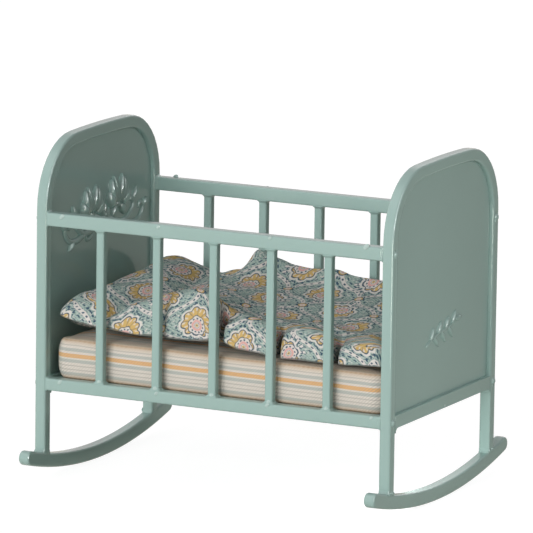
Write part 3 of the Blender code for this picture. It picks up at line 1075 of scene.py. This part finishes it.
# Print
ground_light = (0.375, 0.465, 0.425)
ground_dark = (0.145, 0.225, 0.205)
print_cream = (0.68, 0.635, 0.595)
print_ochre = (0.62, 0.42, 0.15)
print_pink = (0.66, 0.36, 0.33)
print_navy = (0.030, 0.075, 0.125)
worn_colour = (0.24, 0.24, 0.21)
stitch_colour = (0.10, 0.10, 0.09)
fold_painted_shade_colour = (0.020, 0.018, 0.012)
print_size = 1.50
print_drift = 0.00055
trellis_pitch = (9.4, 15.6)
blossom_turns = (2.2, 1.3)
heart_off = (0.95, 0.25)
thread_steps = (0.34, 0.38)


def printed_material():
    """Printed cotton: ochre blossoms in a dotted trellis on a grey-green ground, over a fine weave.

    Lengths in the pattern are in units of print_size millimetres.
    """
    shader = Shader("printed_cotton")
    place = shader.attribute("cloth_place")
    noise = shader.value("TexNoise", {"Vector": place, "Scale": 900, "Detail": 2.0}, "Color")
    drift = shader.value("VectorMath", {0: noise, 1: (0.5, 0.5, 0.5)}, operation="SUBTRACT")
    inputs = {0: drift, 1: (print_drift, print_drift, print_drift), 2: place}
    drifted = shader.value("VectorMath", inputs, operation="MULTIPLY_ADD")
    u, v, edge = shader.split(drifted)
    u = u * (1000.0 / print_size)
    v = v * (1000.0 / print_size)
    pitch_u, pitch_v = trellis_pitch
    a_line = v / pitch_v - u / (2 * pitch_u)
    b_line = v / pitch_v + u / (2 * pitch_u)
    a, b = [(line + 0.5).fraction() - 0.5 for line in (a_line, b_line)]
    across = (b - a) * pitch_u
    upward = (a + b) * (pitch_v / 2)

    # Each blossom is turned its own way
    turn = (a_line - a) * blossom_turns[0] + (b_line - b) * blossom_turns[1]
    cosine, sine = turn.cosine(), turn.sine()
    du = across * cosine - upward * sine
    dv = across * sine + upward * cosine

    def length(first, second, stretch=1.0):
        return (first * first + second * second * stretch).root()

    radius = length(du, dv, 0.80)
    angle = shader.math("ARCTAN2", dv, du)
    heart_u, heart_v = du - heart_off[0], dv - heart_off[1]
    heart = length(heart_u, heart_v)
    heart_angle = shader.math("ARCTAN2", heart_v, heart_u)

    def scallops(around, times, shift=0.0):
        return abs((around * (times / 2) + shift).cosine())

    def rays(around, times, limit, softness):
        return shader.below((around * times).sine(), limit, softness)

    def band(value, middle, half, softness=0.10):
        return shader.below(abs(value - middle), half, softness)

    # Ground: fine hatching with darker and paler flecks
    hatch = (u * 5.2 + v * 9.0).sine()
    speckle = shader.noise(place, 1500, 2.0)
    colour = shader.mix((hatch * 0.30 + (speckle * 2.0 - 0.80)).clamped(), ground_light, ground_dark)

    def ink(share, over, strength=0.95):
        nonlocal colour
        colour = shader.mix(share * strength, colour, over)

    ink(shader.below(shader.noise(place, 1250, 1.0), 0.345, 0.02), print_navy, 0.75)
    ink(shader.below(shader.noise(drifted, 1150, 1.0), 0.38, 0.02), print_cream, 0.75)

    # Trellis: waving cream lines with dark dots, and a dashed one beside each
    grade = math.hypot(1 / (2 * pitch_u), 1 / pitch_v)
    for line, other in ((a_line, b_line), (b_line, a_line)):
        away = abs((other * (2 * math.pi)).sine() * 0.75 + (line.fraction() - 0.5) / grade)
        step = (other * 8.0).fraction()
        ink(shader.below(away, 0.58, 0.08), print_navy, 0.35)
        ink(shader.below(away, 0.46, 0.08), print_cream)
        ink(shader.below(away, 0.20, 0.07) * band(step, 0.5, 0.19, 0.05), print_navy)
        ink(band(away, 1.20, 0.18, 0.06) * band(step, 0.25, 0.26, 0.05), print_navy, 0.9)

    # A tuft of stamens on one side of each blossom
    reach = band(angle, 0.3, 0.62, 0.04) * band(radius, 4.2, 1.15)
    ink(reach * rays(angle, 21.0, 0.25, 0.15), print_navy, 0.9)
    ink(reach * rays(angle, 21.0, -0.35, 0.15), print_cream)

    # Blossom: a scalloped ochre fan round a pale heart
    rim = scallops(angle, 9) * 0.66 + 2.65
    ink(band(radius, rim + 1.25, 0.15, 0.06) * rays(angle, 27.0, 0.45, 0.15), print_navy, 0.9)
    ink(shader.below(radius, rim + 0.80, 0.07), print_cream)
    ink(shader.below(radius, rim + 0.30, 0.07), print_navy)
    ink(shader.below(radius, rim + 0.04, 0.07), print_ochre)
    ink(band(radius, rim - 0.42, 0.34, 0.12) * rays(angle, 18.0, -0.35, 0.25), print_cream, 0.75)
    ink(shader.below(radius, rim, 0.1) * rays(angle, 9.0, -0.93, 0.06), print_navy, 0.5)
    heart_rim = scallops(heart_angle, 7, 0.4) * 0.28 + 1.95
    beads = rays(heart_angle, 11.0, -0.05, 0.2)
    ink(shader.below(heart, heart_rim + 0.20, 0.07), print_navy, 0.9)
    ink(shader.below(heart, heart_rim, 0.07), print_cream)
    ink(band(heart, 1.62, 0.17, 0.06) * beads, print_navy)
    ink(band(heart, 1.08, 0.26, 0.08), print_pink)
    ink(band(heart, 0.62, 0.12, 0.05) * beads, print_navy, 0.8)
    ink(shader.below(heart, 0.40, 0.07), print_ochre)
    ink(shader.below(heart, 0.16, 0.05), print_navy, 0.8)

    # Small florets where the trellis crosses
    corner = length(0.5 - abs(a), 0.5 - abs(b)) / grade
    ink(shader.below(corner, 1.15, 0.1), print_navy, 0.85)
    ink(shader.below(corner, 0.90, 0.1), print_ochre)
    ink(shader.below(corner, 0.60, 0.08), print_cream)
    ink(shader.below(corner, 0.28, 0.06), print_pink)

    # Weave, wear, the stitched seam, and painted shade in the deepest folds
    weave = (u * (2 * math.pi / thread_steps[0])).sine() * (v * (2 * math.pi / thread_steps[1])).sine()
    fuzz = shader.noise(place, 3200, 2.0)
    ink((fuzz * 0.16 + (weave * 0.05 - 0.05)).clamped(), worn_colour, 1.0)
    ink(shader.below(edge, 0.00030, 0.00020), stitch_colour, 0.65)
    colour = shader.mix((shader.attribute("fold_painted_shade", "Fac") * 0.9).clamped(), colour, fold_painted_shade_colour)
    crumple = shader.bump(shader.noise(place, 260, 3.0, 0.6), 0.00048)
    return shader.finish(colour, 0.9, 0.08, shader.bump(weave * 0.5 + fuzz, 0.00004, crumple))


# Quilt
quilt_margin = 0.0002
quilt_inner_steps = (96, 42)
quilt_edge_steps = 9
quilt_sunk = 0.0008
quilt_crown = 0.0008
quilt_over_mattress = 0.0003
quilt_least_over = 0.0002
quilt_front_fall = 0.34
quilt_edge_reach = 0.0066
quilt_front_reach = 0.0095
quilt_edge_power, quilt_front_power = 2.6, 2.2
quilt_seam_share = 0.04
quilt_corner = 0.0038
quilt_pressure = 2.0
quilt_cap = 0.0011
quilt_reach_y = 0.03950
quilt_over_end = 0.0006
# Wrinkles: radians per metre, seed and height
quilt_wrinkles = ((420, 11, 0.00024), (900, 12, 0.00012))
wrinkle_waves = 8
# Tucks, where the slats press into the quilt, each with its share
quilt_tuck = 0.0068
quilt_tuck_width = 0.00155
quilt_tuck_shares = (0.20, 0.20, 0.95, 1.0, 1.0)
quilt_tuck_shift = -0.00022
quilt_tuck_from, quilt_tuck_reach = 0.029, 0.007
# Where the tucks get painted shade, towards the front edge
tuck_painted_shade_from, tuck_painted_shade_reach = 0.0335, 0.003
# The print on the quilt's top, drawn closer than on its front, and that of its underside
lying_print = 0.70
lying_print_start = 0.034
lower_print = 0.97
# Heights of its upper face, as x, y and z in millimetres
quilt_heights = (
    (-62, -34, 65.6), (-52, -34, 65.6), (-44, -35, 64.1), (-36, -33, 66.2), (-29, -33, 67.6), (-23, -33, 70.2),
    (-15, -33, 72.2), (-8, -33, 73.2), (-3, -34, 70.1), (1, -35, 66.8), (8, -34, 66.4), (15, -34, 64.8),
    (21, -35, 63.6), (27, -34, 65.0), (33, -34, 64.4), (39, -34, 63.2), (44, -35, 61.2), (50, -34, 62.4),
    (56, -34, 62.2), (61, -34, 61.8), (-62, -24, 65.5), (-52, -24, 66.3), (-44, -27, 64.3), (-36, -26, 64.1),
    (-30, -24, 66.1), (-20, -24, 69.1), (-8, -24, 68.9), (0, -24, 65.3), (8, -24, 63.1), (20, -24, 61.7),
    (30, -24, 61.9), (44, -24, 60.5), (60, -24, 60.5), (-62, -12, 65.8), (-50, -12, 66.8), (-40, -12, 66.2),
    (-29, -15, 64.6), (-20, -12, 66.6), (-8, -12, 66.0), (4, -12, 63.6), (20, -12, 61.6), (40, -12, 61.0),
    (60, -12, 60.6), (-62, 0, 66.6), (-50, 4, 68.0), (-42, 6, 67.4), (-34.5, 7, 64.6), (-24, 4, 65.8),
    (-10, 4, 65.2), (6, 4, 64.0), (24, 4, 62.6), (42, 4, 62.2), (60, 4, 61.8), (-62, 20, 67.2), (-50, 20, 69.0),
    (-42, 20, 67.6), (-36, 20, 65.2), (-28, 18, 65.2), (-18, 16, 65.4), (0, 16, 64.6), (20, 16, 63.8),
    (42, 16, 63.2), (60, 16, 62.8), (-18, 25, 68.2), (-6, 25, 66.8), (6, 25, 66.2), (20, 25, 65.2), (40, 25, 64.2),
    (59, 25, 63.6), (-61, 33, 68.4), (-58.4, 33, 69.3), (-54.9, 33, 69.8), (-49, 33, 69.4), (-43, 33, 67.4),
    (-40, 33, 66.6), (-35.5, 33, 66.6), (-31.7, 33, 66.9), (-27.4, 33, 67.3), (-24.4, 33, 67.6), (-22.3, 33, 74.4),
    (-17, 33, 73.6), (-12, 33, 72.0), (1.5, 33, 70.1), (11, 33, 70.2), (24.3, 33, 68.7), (32, 33, 68.0),
    (45, 33, 66.5), (60, 33, 65.6),
)
height_smoothing = 0.0004
# Creases, as x, y and depth in millimetres
quilt_creases = (
    ((-47, -38, 1.2), (-43, -35, 2.2), (-38, -31, 1.6), (-33, -27, 1.6), (-30, -18, 1.4), (-34, 4, 1.6),
     (-37, 20, 1.6), (-35, 34, 1.2)),
    ((-0.5, -38.0, 3.4), (1.6, -35.8, 3.2), (5.0, -33.4, 1.8), (9, -31.5, 0.3)),
    ((22.2, -37.5, 2.2), (24.0, -35.0, 1.8), (28.0, -33.0, 0.8), (32, -32, 0.1)),
    ((44.6, -37.5, 2.2), (46.4, -35.0, 1.8), (50.5, -33.0, 0.8), (54, -32, 0.1)),
)
quilt_crease_width, quilt_crease_power = 0.0017, 1.5
# Painted shade in the deepest folds: lines as x and y in millimetres, and the share of painted shade
painted_fold_shade_lines = (
    ((0.2, -37.6, 1.0), (1.6, -36.0, 1.0), (3.2, -34.6, 0.8), (5.6, -33.0, 0.0)),
    ((22.6, -37.4, 0.9), (23.6, -36.0, 0.8), (25.0, -34.8, 0.0)),
    ((45.0, -37.4, 0.9), (46.0, -36.2, 0.8), (47.6, -34.8, 0.0)),
)
painted_fold_shade_width, painted_fold_shade_power = 0.0007, 2
# The front edge's underside, as x and z in millimetres
quilt_front_line = (
    (-64.4, 58.6), (-62, 58.2), (-50, 56.1), (-37.5, 55.0), (-30.8, 54.4), (-25, 54.5), (-16, 54.3), (-6, 54.7),
    (-1, 56.0), (2, 55.6), (6.7, 53.5), (16.8, 52.8), (22, 51.9), (39.5, 52.0), (45, 52.1), (62, 52.9),
)


def height_field(x, y):
    """Smooth heights through the quilt's given places, as a thin plate would bend."""
    known = np.array(quilt_heights) / 1000
    size = 0.05

    def bend(distance):
        share = np.maximum(distance / size, 1e-9)
        return share**2 * np.log(share)

    def columns(a, b):
        return bend(np.hypot(a[..., None] - known[:, 0], b[..., None] - known[:, 1]))

    count = len(known)
    plate = columns(known[:, 0], known[:, 1]) + height_smoothing * np.eye(count)
    flat = np.stack([np.ones(count), known[:, 0] / size, known[:, 1] / size], 1)
    system = np.block([[plate, flat], [flat.T, np.zeros((3, 3))]])
    weights = np.linalg.solve(system, np.concatenate([known[:, 2], np.zeros(3)]))
    level, slope_x, slope_y = weights[count:]
    return columns(x, y) @ weights[:count] + level + slope_x * x / size + slope_y * y / size


def distance_to_line(x, y, start, stop):
    """Distance of each place from a line, and how far along the line its nearest point lies."""
    run_x, run_y = stop[0] - start[0], stop[1] - start[1]
    along = ((x - start[0]) * run_x + (y - start[1]) * run_y) / (run_x**2 + run_y**2)
    along = np.clip(along, 0, 1)
    return np.hypot(x - start[0] - along * run_x, y - start[1] - along * run_y), along


def along_lines(x, y, lines, width, power):
    """The largest third value of the lines of (x, y, value), falling off with the distance from them."""
    made = np.zeros_like(x)
    for line in lines:
        for start, stop in zip(line, line[1:]):
            near, share = distance_to_line(x, y, mm(*start), mm(*stop))
            value = start[2] + (stop[2] - start[2]) * share
            made = np.maximum(made, value * np.exp(-((near / width) ** power)))
    return made


def spaced(half, edge, inner_steps, edge_steps):
    """Places from -half to half, closer together in the rounded edge."""
    inner = half - edge
    middle = [inner * (2 * step / inner_steps - 1) for step in range(inner_steps + 1)]
    outer = [inner + edge * math.sin(math.pi / 2 * step / edge_steps) for step in range(1, edge_steps + 1)]
    return np.array([-place for place in reversed(outer)] + middle + outer)


def closer_at_slats(places, inner):
    """Moves places along the quilt towards the slats, all but those in its rounded ends."""
    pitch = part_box("front_slat_2")[0].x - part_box("front_slat_1")[0].x
    window = 1 - np.clip(np.abs(places) / inner, 0, 1) ** 8
    return places - window * 0.5 * pitch / (2 * math.pi) * np.sin(2 * math.pi * places / pitch)


def travelled(surface, axis):
    """How far each point of a grid lies from its middle, measured over the surface."""
    step = np.linalg.norm(np.diff(surface, axis=axis), axis=-1)
    pad = [(0, 0), (0, 0)]
    pad[axis] = (1, 0)
    total = np.cumsum(np.pad(step, pad), axis=axis)
    return total - np.take(total, [total.shape[axis] // 2], axis=axis)


def quilt_surfaces(half_x, half_y):
    """The quilt's upper and lower faces and its seam's height, as grids.

    With them come how far each place lies from the edge, and how much painted shade its fold gets.
    """
    bottom = mattress_high.z - quilt_sunk
    xs = spaced(half_x, quilt_edge_reach, quilt_inner_steps[0], quilt_edge_steps)
    xs = closer_at_slats(xs, half_x - quilt_edge_reach)
    ys = spaced(half_y, quilt_edge_reach, quilt_inner_steps[1], quilt_edge_steps)
    x, y = np.meshgrid(xs, ys, indexing="ij")
    crown = quilt_crown * crown_at(x, y, mattress_high.x, mattress_high.y)
    front_line = np.array(quilt_front_line) / 1000
    lift = np.interp(x, front_line[:, 0], front_line[:, 1]) - bottom
    lift = np.maximum(0, lift) * np.exp(-(((y / half_y + 1) / quilt_front_fall) ** 2))
    lower = bottom + crown + quilt_over_mattress + lift
    upper = height_field(x, y)
    for crease in quilt_creases:
        upper -= along_lines(x, y, [crease], quilt_crease_width, quilt_crease_power) / 1000
    dark = along_lines(x, y, painted_fold_shade_lines, painted_fold_shade_width, painted_fold_shade_power)
    gap = np.minimum(half_x - np.abs(x), half_y - np.abs(y))
    back_gap = np.minimum(half_x - np.abs(x), half_y - y)
    edge, back_edge = [1 - np.clip(each / quilt_edge_reach, 0, 1) for each in (gap, back_gap)]
    front_edge = 1 - np.clip((half_y + y) / quilt_front_reach, 0, 1)
    up = (1 - back_edge**quilt_edge_power) ** (1 / quilt_edge_power)
    up = up * (1 - front_edge**quilt_front_power) ** (1 / quilt_front_power)
    seam = lower + quilt_seam_share * (upper - lower)
    top_z = seam + (upper - seam) * up
    low_z = seam - (seam - lower) * (1 - edge**2) ** 0.5
    x, y = rounded_plan(x, y, half_x, half_y, quilt_corner)
    tuck = np.zeros_like(x)
    for middle, share in zip(front_slat_places(), quilt_tuck_shares):
        pressed = share * np.exp(-np.abs((x - middle - quilt_tuck_shift) / quilt_tuck_width) ** 5)
        tuck += pressed
        dark = np.maximum(dark, pressed**2 * np.clip((-y - tuck_painted_shade_from) / tuck_painted_shade_reach, 0, 1))
    tuck *= np.clip((-y - quilt_tuck_from) / quilt_tuck_reach, 0, 1)
    top_z -= 0.5 * quilt_tuck * tuck * up
    y = y * (1 - quilt_tuck * tuck / half_y)
    return np.stack([x, y, top_z], -1), np.stack([x, y, low_z], -1), seam, gap, dark


def add_quilt():
    """The quilt: two printed faces, stuffed, joined at a seam all round, with its folds."""
    top, low, seam, gap, dark = quilt_surfaces(quilt_high.x - quilt_margin, quilt_high.y - quilt_margin)
    nx, ny = gap.shape
    count = nx * ny
    on_seam = np.zeros((nx, ny), bool)
    on_seam[[0, -1], :] = True
    on_seam[:, [0, -1]] = True
    index_low = np.arange(count).reshape(nx, ny)
    index_low[~on_seam] = count + np.arange(np.count_nonzero(~on_seam))
    flat = np.concatenate([top.reshape(-1, 3), low[~on_seam]])
    faces = grid_faces(nx, ny)
    for i in range(nx - 1):
        for j in range(ny - 1):
            corners = ((i, j + 1), (i + 1, j + 1), (i + 1, j), (i, j))
            faces.append(tuple(index_low[corner] for corner in corners))
    held = np.zeros(len(flat))
    held[np.flatnonzero(on_seam)] = 1.0
    points = inflate("quilt_cloth", flat, faces, held, quilt_pressure, quilt_cap).copy()
    wrinkles = sum(
        smooth_noise(flat * waves, seed, wrinkle_waves) * height for waves, seed, height in quilt_wrinkles
    )
    points[:count, 2] += wrinkles[:count]
    reach_x = quilt_high.x + quilt_over_end
    points[:, 1] = np.clip(points[:, 1], -quilt_reach_y, quilt_reach_y)
    points[:, 0] = np.clip(points[:, 0], -reach_x, reach_x)
    crown = quilt_crown * crown_at(points[:, 0], points[:, 1], mattress_high.x, mattress_high.y)
    points[:, 2] = np.maximum(points[:, 2], mattress_high.z - quilt_sunk + crown + quilt_least_over)
    made = finished("printed_quilt", points, faces, "quilt", printed_material())

    u = travelled(top, 0)
    v = travelled(top, 1)
    v = np.where(v < -lying_print_start, v + (1 - lying_print) * lying_print_start, v * lying_print)
    values = np.zeros((len(points), 3), np.float32)
    values[:count] = np.stack([u, v, np.hypot(gap, top[..., 2] - seam)], -1).reshape(-1, 3)
    values[count:] = np.stack([u * lower_print, v * lower_print, gap], -1)[~on_seam]
    place = made.data.attributes.new("cloth_place", "FLOAT_VECTOR", "POINT")
    place.data.foreach_set("vector", values.ravel())
    shaded = np.zeros(len(points), np.float32)
    shaded[:count] = dark.ravel()
    shade = made.data.attributes.new("fold_painted_shade", "FLOAT", "POINT")
    shade.data.foreach_set("value", shaded)
    smoothed(made)
    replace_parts(made, "quilt")


def add_camera():
    camera = bpy.data.cameras.new("camera")
    camera.lens = camera_lens
    camera.sensor_width = sensor_width
    camera.clip_start, camera.clip_end = camera_clip
    made = add_object("camera", camera)
    ahead = Vector((-math.sin(camera_yaw) * math.cos(camera_pitch),
                    math.cos(camera_yaw) * math.cos(camera_pitch),
                    -math.sin(camera_pitch)))
    right = Vector((math.cos(camera_yaw), math.sin(camera_yaw), 0))
    up = right.cross(ahead)
    rolled_right = right * math.cos(camera_roll) + up * math.sin(camera_roll)
    rolled_up = up * math.cos(camera_roll) - right * math.sin(camera_roll)
    turned = Matrix((rolled_right, rolled_up, -ahead)).transposed()
    made.matrix_world = Matrix.Translation(camera_place) @ turned.to_4x4()
    bpy.context.scene.camera = made


def add_lamp(name, lamp, towards_lamp):
    made = add_object(name, lamp)
    made.rotation_mode = "QUATERNION"
    made.rotation_quaternion = Vector(towards_lamp).to_track_quat("Z", "Y")
    made.visible_glossy = False
    return made


def add_lamps():
    sun = bpy.data.lights.new("soft_sun", "SUN")
    sun.energy = sun_level * math.pi / 2
    sun.angle = sun_spread
    add_lamp("soft_sun", sun, sun_from)
    for name, (place, aim, size, power) in lamps.items():
        lamp = bpy.data.lights.new(name, "AREA")
        lamp.shape = "RECTANGLE"
        lamp.size, lamp.size_y = size
        lamp.energy = power
        made = add_lamp(name, lamp, Vector(place) - Vector(aim))
        made.location = place
        made.visible_camera = False


def add_surroundings():
    """Soft light that is brighter towards the sun, with bright patches for reflections alone."""
    world = bpy.data.worlds.new("studio")
    bpy.context.scene.world = world
    nodes = Nodes(world)
    nodes.tree.nodes.clear()
    direction = nodes.value("TexCoord", output="Generated")

    def facing(aim):
        """1 in the direction of the aim, -1 away from it."""
        inputs = {0: direction, 1: Vector(aim).normalized()}
        return nodes.value("VectorMath", inputs, "Value", operation="DOT_PRODUCT")

    def sloped(aim, slope, level):
        return nodes.math("MAXIMUM", facing(aim) * slope + level, least_light)

    patches = [
        nodes.ramp(facing(aim), math.cos(math.radians(far)), math.cos(math.radians(near)), 0.0, level)
        for aim, level, near, far in glints
    ]
    bright = patches[0]
    for patch in patches[1:]:
        bright = bright + patch
    sky = nodes.value("Background", {"Strength": sloped(sky_from, sky_slope, sky_level)})
    slope = sloped(mirror_from, mirror_slope, mirror_level)
    mirrored = nodes.value("Background", {"Color": mirror_colour, "Strength": slope})
    mirrored = nodes.value("AddShader", {0: mirrored, 1: nodes.value("Background", {"Strength": bright})})
    hidden = nodes.for_reflections(sky, mirrored)
    nodes.put(nodes.tree.nodes.new("ShaderNodeOutputWorld").inputs[0],
              nodes.for_camera(hidden, nodes.value("Background")))


def add_floor():
    """A pale floor, which is no part of the cradle."""
    mesh = bpy.data.meshes.new("floor")
    turns = [2 * math.pi * k / floor_corners for k in range(floor_corners)]
    points = [(floor_radius * math.cos(turn), floor_radius * math.sin(turn), 0) for turn in turns]
    mesh.from_pydata(points, [], [tuple(range(floor_corners))])
    floor = add_object("floor", mesh)
    shader = Shader("pale_floor")
    shader.tree.nodes.remove(shader.surface)
    x, y, _ = shader.split(shader.value("TexCoord", output="Object"))
    # For reflections the floor glows: a painted reflection level, a painted shadow under the cradle and a painted
    # bright patch
    level = x * floor_mirror_slopes[0] + floor_mirror_level
    level = y * floor_mirror_slopes[1] + level
    level = shader.math("MINIMUM", shader.math("MAXIMUM", level, floor_mirror_least), 1.0)
    shade = shader.below(abs(x), *shaded_floor[0]) * shader.below(abs(y), *shaded_floor[1])
    reach = shader.math("MAXIMUM", (x * x + y * y).root(), floor_glint_least_reach)
    facing = (x * floor_glint_towards[0] + y * floor_glint_towards[1]) / reach
    glint = shader.ramp(facing, floor_glint_far, floor_glint_near, 0.0, 1.0)
    glint = glint * shader.below(y, *floor_glint_from)
    level = glint * floor_glint_level + level * (shade * -shaded_floor_share + 1.0)
    bounce = shader.value("BsdfDiffuse", {"Color": floor_bounce_colour})
    mirrored = shader.value("Emission", {"Color": floor_mirror_colour, "Strength": level})
    matte = shader.value("BsdfDiffuse", {"Color": floor_colour})
    seen = shader.value("AddShader", {0: matte, 1: shader.value("Emission", {"Strength": floor_glow})})
    shader.put(shader.tree.nodes["Material Output"].inputs[0],
               shader.for_camera(shader.for_reflections(bounce, mirrored), seen))
    mesh.materials.append(shader.material)


dress_frame()
for side_name, side_sign in sides.items():
    add_slat_welds(side_name)
    add_rail_welds(side_name, side_sign)
for end_name, end_sign in ends.items():
    add_end_welds(end_name, end_sign)
    add_panel_bead(end_name)
add_rivets()
add_paint_drops()
add_ornament()
add_sprig()
add_mattress()
add_quilt()
add_floor()
add_surroundings()
add_lamps()
add_camera()
bpy.context.scene.view_settings.view_transform = "Standard"
